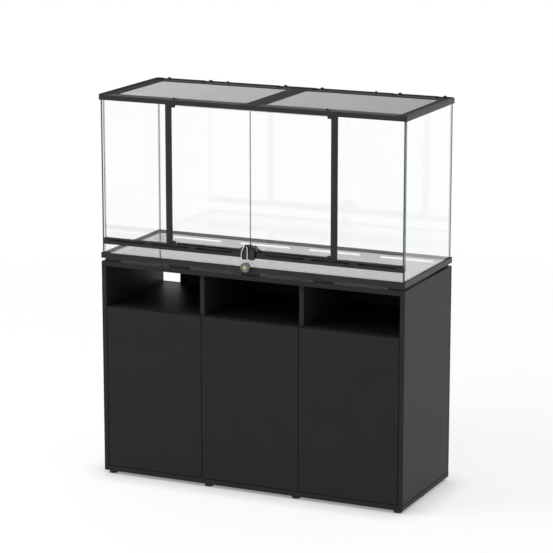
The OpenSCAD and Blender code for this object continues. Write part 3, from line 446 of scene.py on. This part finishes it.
# The width of the rounding, in mm
SOFT_EDGES = {
    0.8: [
        "bottom_panel", "left_side_panel", "right_side_panel", "top_panel", "left_divider",
        "right_divider", "niche_floors", "left_door", "middle_door", "right_door",
    ],
    0.7: ["base_frame", "top_frame", "lid_crossbar", "left_door_handle", "right_door_handle"],
    0.4: [
        "left_post", "right_post", "left_lid_frame", "right_lid_frame", "vent_bar", "vent_bar_caps",
        "left_door_pivots", "right_door_pivots", "door_hinge_arms", "push_latch_housings", "rim_trim",
    ],
    0.25: SHUTTERS,
}


def soften(name, width):
    """Stands a copy of a rigid node in its place, its sharp edges rounded as moulded or banded ones are."""
    source = nodes[name]
    mesh = source.data.copy()
    shape = bmesh.new()
    shape.from_mesh(mesh)
    bmesh.ops.remove_doubles(shape, verts=shape.verts, dist=WELD)
    bmesh.ops.dissolve_limit(shape, angle_limit=FLAT, verts=shape.verts, edges=shape.edges)
    shape.to_mesh(mesh)
    shape.free()
    if "custom_normal" in mesh.attributes:  # the source's own normals no longer fit the faces
        mesh.attributes.remove(mesh.attributes["custom_normal"])
    piece = bpy.data.objects.new(name + "_soft", mesh)
    bpy.context.scene.collection.objects.link(piece)
    bevel = piece.modifiers.new("edges", "BEVEL")
    bevel.width = width
    bevel.segments = SOFT_SEGMENTS
    bevel.limit_method = "ANGLE"
    bevel.angle_limit = SHARP
    for polygon in mesh.polygons:
        polygon.use_smooth = True
    piece.modifiers.new("flat_faces", "WEIGHTED_NORMAL").keep_sharp = True
    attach(piece, source["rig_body"])
    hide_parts(name)


for width, names in SOFT_EDGES.items():
    for name in names:
        soften(name, width * MM)

# ---------------------------------------------------------------- wire mesh

LID_PITCH = 1.9 * MM
LID_WIRE_RADIUS = 0.2 * MM
GAUZE_PITCH = 0.38 * MM
GAUZE_WIRE_RADIUS = 0.14 * MM

# The vent bar's slots, in mm as part.scad has them
VENT_MIDDLE = 65.5
VENT_SLOT_GAP = 28.3
VENT_END_GAP = 21.5
SIDE_SLOTS = 3

# The gauze behind them, in mm
GAUZE_PAST_SLOT = 1
GAUZE_IN = 6.2  # behind the vent bar's front
GAUZE_FROM, GAUZE_TO = 6, 19.2  # above its lowest edge


def weave(corner, along, up, pitch, radius):
    """Square wires both ways over a rectangle, one layer on the other, as vertices and faces."""
    out = along.cross(up).normalized()
    rise = out * radius
    vertices, faces = [], []
    for side, run, layer in ((along, up, -rise), (up, along, rise)):
        across = side.normalized()
        half = across * radius
        for k in range(int(side.length / pitch)):
            start = corner + across * ((k + 0.5) * pitch) + layer
            first = len(vertices)
            for at in (start, start + run):
                vertices += [at + half, at + rise, at - half, at - rise]
            for n in range(4):
                beside = (n + 1) % 4
                faces.append((first + n, first + beside, first + 4 + beside, first + 4 + n))
    return vertices, faces


def weave_lid(side):
    """The steel mesh of a lid, in the place of its plain sheet."""
    low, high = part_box(side + "_lid_mesh")
    corner = Vector((low.x, low.y, (low.z + high.z) / 2))
    along = Vector((high.x - low.x, 0, 0))
    up = Vector((0, high.y - low.y, 0))
    vertices, faces = weave(corner, along, up, LID_PITCH, LID_WIRE_RADIUS)
    piece = add_piece(side + "_lid_wires", vertices, faces, mesh_wire, side + "_lid")
    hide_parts(side + "_lid_mesh")


def screen_vents():
    """Fine black gauze in the vent bar, behind its front slots, which keeps feeder insects in."""
    low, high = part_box("vent_bar")
    row = high.x / MM - VENT_END_GAP - VENT_MIDDLE
    slot = (row - (SIDE_SLOTS - 1) * VENT_SLOT_GAP) / SIDE_SLOTS
    front, foot = low.y / MM + GAUZE_IN, low.z / MM + GAUZE_FROM
    along = Vector((slot + 2 * GAUZE_PAST_SLOT, 0, 0)) * MM
    up = Vector((0, 0, GAUZE_TO - GAUZE_FROM)) * MM
    vertices, faces = [], []
    for side in (-1, 1):
        for k in range(SIDE_SLOTS):
            middle = side * (VENT_MIDDLE + slot / 2 + k * (slot + VENT_SLOT_GAP))
            corner = Vector((middle - slot / 2 - GAUZE_PAST_SLOT, front, foot)) * MM
            more, their_faces = weave(corner, along, up, GAUZE_PITCH, GAUZE_WIRE_RADIUS)
            faces += [tuple(len(vertices) + n for n in face) for face in their_faces]
            vertices += more
    add_piece("vent_gauze", vertices, faces, gauze, nodes["vent_bar"]["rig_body"])


for side in ("left", "right"):
    weave_lid(side)
screen_vents()

# ---------------------------------------------------------------- painted shade of the board joints

JOINT_HEIGHT = 2.4 * MM
JOINT_DEPTH = 1.0 * MM
JOINT_PROUD = 0.05 * MM
JOINT_SETBACK = 1 * MM  # from the panel's front and rear edges


def block(low, high):
    """A plain block, as vertices and faces."""
    vertices = [(x, y, z) for x in (low.x, high.x) for y in (low.y, high.y) for z in (low.z, high.z)]
    faces = [(0, 1, 3, 2), (4, 6, 7, 5), (0, 4, 5, 1), (2, 3, 7, 6), (0, 2, 6, 4), (1, 5, 7, 3)]
    return vertices, faces


def paint_joint_shade(side, out):
    """A dark strip of painted shade in the joint between a side panel and the bottom panel's end under it.
    """
    low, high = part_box(side + "_side_panel")
    face = high.x if out > 0 else low.x
    inner, outer = sorted((face - out * JOINT_DEPTH, face + out * JOINT_PROUD))
    half = JOINT_HEIGHT / 2
    vertices, faces = block(
        Vector((inner, low.y + JOINT_SETBACK, low.z - half)),
        Vector((outer, high.y - JOINT_SETBACK, low.z + half)),
    )
    add_piece(side + "_joint_shade_strip", vertices, faces, joint_shade_finish, "carcass", smooth=False)


for side, out in (("left", -1), ("right", 1)):
    paint_joint_shade(side, out)

# ---------------------------------------------------------------- lock cable

# The cable's route as part.scad has it, in mm from its apex, and its arcs in degrees
LOCK_APEX = Vector((-7.5, -242.45, 923))
LOOP_SIDE = 17
LOOP_HALF = 34.08
LOOP_ARC = range(235, 88, -5)
LOOP_BEND = 6.25
BEND_ARC = range(75, -1, -15)
LEG_IN = 9

# Its strands, in mm
STRANDS = 6
STRAND_RADIUS = 0.56
STRAND_SIDES = 6
STRAND_STEP = 0.9
LAY_RADIUS = 1.13
LAY_LENGTH = 13


def loop_arc(width, height, degrees):
    """Points of an ellipse whose top is the apex."""
    angles = [math.radians(a) for a in degrees]
    return [Vector((width * math.cos(a), 0, height * (math.sin(a) - 1))) for a in angles]


def cable_route():
    """Points along the loop, an even step apart, from the left leg's foot to the right one's."""
    left = loop_arc(LOOP_SIDE, LOOP_HALF, LOOP_ARC)
    right = loop_arc(LOOP_BEND, LOOP_BEND, BEND_ARC)
    foot = left[0].z - LEG_IN
    corners = [Vector((left[0].x, 0, foot)), *left, *right, Vector((LOOP_BEND, 0, foot))]
    points, spare = [corners[0]], 0.0
    for a, b in zip(corners, corners[1:]):
        length = (b - a).length
        while spare + length >= STRAND_STEP:
            a = a + (b - a) * ((STRAND_STEP - spare) / length)
            points.append(a)
            length, spare = (b - a).length, 0.0
        spare += length
    return points


def lay_cable():
    """The twisted strands of the lock's cable."""
    points = cable_route()
    back = Vector((0, 1, 0))
    vertices, faces = [], []
    for strand in range(STRANDS):
        first = len(vertices)
        for i, point in enumerate(points):
            ahead = points[min(i + 1, len(points) - 1)] - points[max(i - 1, 0)]
            out = Vector((-ahead.z, 0, ahead.x)).normalized()
            turn = 2 * math.pi * (i * STRAND_STEP / LAY_LENGTH + strand / STRANDS)
            middle = LOCK_APEX + point + LAY_RADIUS * (math.cos(turn) * out + math.sin(turn) * back)
            for k in range(STRAND_SIDES):
                a = 2 * math.pi * k / STRAND_SIDES
                rim = STRAND_RADIUS * (math.cos(a) * out + math.sin(a) * back)
                vertices.append((middle + rim) * MM)
        for i in range(len(points) - 1):
            ring = first + i * STRAND_SIDES
            for k in range(STRAND_SIDES):
                a, b = ring + k, ring + (k + 1) % STRAND_SIDES
                faces.append((a, b, b + STRAND_SIDES, a + STRAND_SIDES))
    piece = add_piece("lock_cable", vertices, faces, cable_steel, "lock")
    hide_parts("lock_shackle")


lay_cable()

# ---------------------------------------------------------------- screws of the fittings

HEAD_SIDES = 20
HEAD_SHOULDER = 0.45  # of its height, up to which a head is straight
HEAD_CROWN = 0.82  # of its radius, at the top
CROSS_ARM = 0.55  # of the radius
CROSS_HALF = 0.13  # of the radius
CROSS_TAPER = 0.8
CROSS_FLOOR = 0.1  # of the height
CUP_SCREW = (3.2, 1.1)  # radius and height, in mm
ARM_SCREW = (2.9, 1.0)

# The face that each door's hinge plates are screwed to, and the way into the bay, in mm
HINGES = {"left": (-582, 1), "middle": (-188, 1), "right": (582, -1)}
PLATE_Y = -177.5
FLANGE_BACK_Y = -211
CUP_INSET = 25.5  # from the ends of a door's pair of cups to their middles
FLANGE_SCREWS = 21.3  # above and below a cup's middle
PLATE_T = 3
PLATE_SCREWS_Y = 26
PLATE_SCREWS = 10.6  # above and below an arm's middle
ARM_TOP = 15
ARM_SCREWS_Y = (6, 38)


def screw_head(radius, height):
    """A low round head with a cross recess, on z = 0 facing +Z, as vertices and faces."""
    shape = bmesh.new()
    rim = []
    profile = ((radius, 0.0), (radius, height * HEAD_SHOULDER), (radius * HEAD_CROWN, height))
    turns = [2 * math.pi * k / HEAD_SIDES for k in range(HEAD_SIDES)]
    for r, z in profile:
        ring = [shape.verts.new((r * math.cos(a), r * math.sin(a), z)) for a in turns]
        if rim:
            for k in range(HEAD_SIDES):
                beside = (k + 1) % HEAD_SIDES
                shape.faces.new((rim[k], rim[beside], ring[beside], ring[k]))
        rim = ring
    arm, half = radius * CROSS_ARM, radius * CROSS_HALF
    outline = [(arm, -half), (arm, half), (half, half), (half, arm), (-half, arm), (-half, half)]
    outline += [(-x, -y) for x, y in outline]
    corners = len(outline)
    top = [shape.verts.new((x, y, height)) for x, y in outline]
    floor = [shape.verts.new((x * CROSS_TAPER, y * CROSS_TAPER, height * CROSS_FLOOR)) for x, y in outline]
    cross = [shape.edges.new((top[k], top[(k + 1) % corners])) for k in range(corners)]
    for k in range(corners):
        beside = (k + 1) % corners
        shape.faces.new((top[k], top[beside], floor[beside], floor[k]))
    shape.faces.new(floor)
    outer = [shape.edges.get((rim[k], rim[(k + 1) % HEAD_SIDES])) for k in range(HEAD_SIDES)]
    bmesh.ops.triangle_fill(shape, edges=outer + cross, use_beauty=True)
    shape.verts.index_update()
    vertices = [v.co.copy() for v in shape.verts]
    faces = [tuple(v.index for v in f.verts) for f in shape.faces]
    shape.free()
    return vertices, faces


def add_screws(name, body, places, size):
    """Screw heads at (point in mm, direction that they face)."""
    head, head_faces = screw_head(*size)
    vertices, faces = [], []
    for at, facing in places:
        turned = Vector(facing).to_track_quat("Z", "Y")
        first = len(vertices)
        vertices += [(Vector(at) + turned @ v) * MM for v in head]
        faces += [tuple(first + i for i in face) for face in head_faces]
    add_piece(name, vertices, faces, zinc, body, smooth=False)


arm_screws = []
for door, (plate, into) in HINGES.items():
    low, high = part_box(door + "_hinge_cups")
    cup_x = (low.x + high.x) / 2 / MM
    cup_screws = []
    for z in (low.z / MM + CUP_INSET, high.z / MM - CUP_INSET):
        for dz in (-FLANGE_SCREWS, FLANGE_SCREWS):
            cup_screws.append(((cup_x, FLANGE_BACK_Y, z + dz), (0, 1, 0)))
        for dz in (-PLATE_SCREWS, PLATE_SCREWS):
            arm_screws.append(((plate + PLATE_T * into, PLATE_Y + PLATE_SCREWS_Y, z + dz), (into, 0, 0)))
        for dy in ARM_SCREWS_Y:
            arm_screws.append(((plate + ARM_TOP * into, PLATE_Y + dy, z), (into, 0, 0)))
    add_screws(door + "_cup_screws", door + "_cabinet_door", cup_screws, CUP_SCREW)
add_screws("hinge_arm_screws", "carcass", arm_screws, ARM_SCREW)

# ---------------------------------------------------------------- light and floor

WHITE = (1, 1, 1, 1)
EVEN_LIGHT = 0.62  # strength of the light from all round
SEEN_LIGHT = 1.0  # and of the white that is seen instead

KEY_AT = (-3.2, -2.6, 4.6)
KEY_TOWARDS = (0, 0, 0.7)
KEY_SIZE = (3.0, 3.0)
KEY_POWER = 150

FLOOR_GREY = (0.45, 0.45, 0.45, 1)  # for the light that it throws back at the object
FLOOR_WHITE = 0.79  # how much of the floor's white doesn't take the soft shadow
FLOOR_LIT = 1.16  # evens out what the lamps leave of a white floor
CONTACT_SHADE = 0.32  # what is left of the floor's white right under the object
CONTACT_REACH = 0.12
FADE_FROM, FADE_TO = 1.6, 4.2  # where the floor turns plain white, from the object
FLOOR_RADIUS = 40
FLOOR_SIDES = 96
FLOOR_DROP = 0.2 * MM


def sight(tree):
    """1 for camera, glossy and transmission rays, which see the white background."""
    path = tree.nodes.new("ShaderNodeLightPath")
    seen = path.outputs["Is Camera Ray"]
    for ray in ("Is Glossy Ray", "Is Transmission Ray"):
        highest = tree.nodes.new("ShaderNodeMath")
        highest.operation = "MAXIMUM"
        tree.links.new(seen, highest.inputs[0])
        tree.links.new(path.outputs[ray], highest.inputs[1])
        seen = highest.outputs[0]
    return seen


def background(tree, strength):
    made = tree.nodes.new("ShaderNodeBackground")
    made.inputs["Color"].default_value = WHITE
    made.inputs["Strength"].default_value = strength
    return made.outputs[0]


def make_world():
    """White for what the camera, metal and glass see, and a plain even light on the object."""
    world = bpy.data.worlds.new("studio")
    world.use_nodes = True
    bpy.context.scene.world = world
    tree = world.node_tree
    tree.nodes.clear()
    mix = tree.nodes.new("ShaderNodeMixShader")
    tree.links.new(sight(tree), mix.inputs[0])
    tree.links.new(background(tree, EVEN_LIGHT), mix.inputs[1])
    tree.links.new(background(tree, SEEN_LIGHT), mix.inputs[2])
    out = tree.nodes.new("ShaderNodeOutputWorld")
    tree.links.new(mix.outputs[0], out.inputs["Surface"])


def floor_material():
    """White as seen, with the object's soft shadow and a darker one where it stands."""
    m = Material("floor", Roughness=0.8, Specular_IOR_Level=0.1, Base_Color=FLOOR_GREY)
    open_sky = m.node("ShaderNodeAmbientOcclusion", {"Distance": CONTACT_REACH}, samples=8).outputs["AO"]
    near = m.fade(open_sky, CONTACT_SHADE, 1.0)
    glow = m.node("ShaderNodeEmission", {"Color": near, "Strength": FLOOR_WHITE})
    pale = FLOOR_LIT * (1 - FLOOR_WHITE)
    shade = m.node("ShaderNodeBsdfDiffuse", {"Color": (pale, pale, pale, 1)})
    seen = m.node("ShaderNodeAddShader", {0: glow.outputs[0], 1: shade.outputs[0]})
    around = m.node(
        "ShaderNodeMixShader", {0: sight(m.data.node_tree), 1: m.shader.outputs[0], 2: seen.outputs[0]}
    )
    distance = m.node("ShaderNodeVectorMath", {0: m.place}, operation="LENGTH").outputs["Value"]
    far = m.range(distance, 0.0, 1.0, FADE_FROM, FADE_TO)
    white = m.node("ShaderNodeEmission", {"Color": WHITE, "Strength": 1.0})
    mix = m.node("ShaderNodeMixShader", {0: far, 1: around.outputs[0], 2: white.outputs[0]})
    m.links.new(mix.outputs[0], m.output.inputs["Surface"])
    return m.data


def make_floor():
    mesh = bpy.data.meshes.new("floor")
    shape = bmesh.new()
    bmesh.ops.create_circle(shape, cap_ends=True, radius=FLOOR_RADIUS, segments=FLOOR_SIDES)
    shape.to_mesh(mesh)
    shape.free()
    floor = bpy.data.objects.new("floor", mesh)
    floor.location.z = cad_low.z - FLOOR_DROP
    bpy.context.scene.collection.objects.link(floor)
    give(floor, floor_material())
    floor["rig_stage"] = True


def make_key_light():
    data = bpy.data.lights.new("key", "AREA")
    data.shape = "RECTANGLE"
    data.size, data.size_y = KEY_SIZE
    data.energy = KEY_POWER
    lamp = bpy.data.objects.new("key", data)
    lamp.location = KEY_AT
    lamp.rotation_euler = (Vector(KEY_TOWARDS) - Vector(KEY_AT)).to_track_quat("-Z", "Y").to_euler()
    bpy.context.scene.collection.objects.link(lamp)


make_world()
make_floor()
make_key_light()

bpy.context.scene.view_settings.view_transform = "Standard"

# ---------------------------------------------------------------- the object's bounds

low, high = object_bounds()
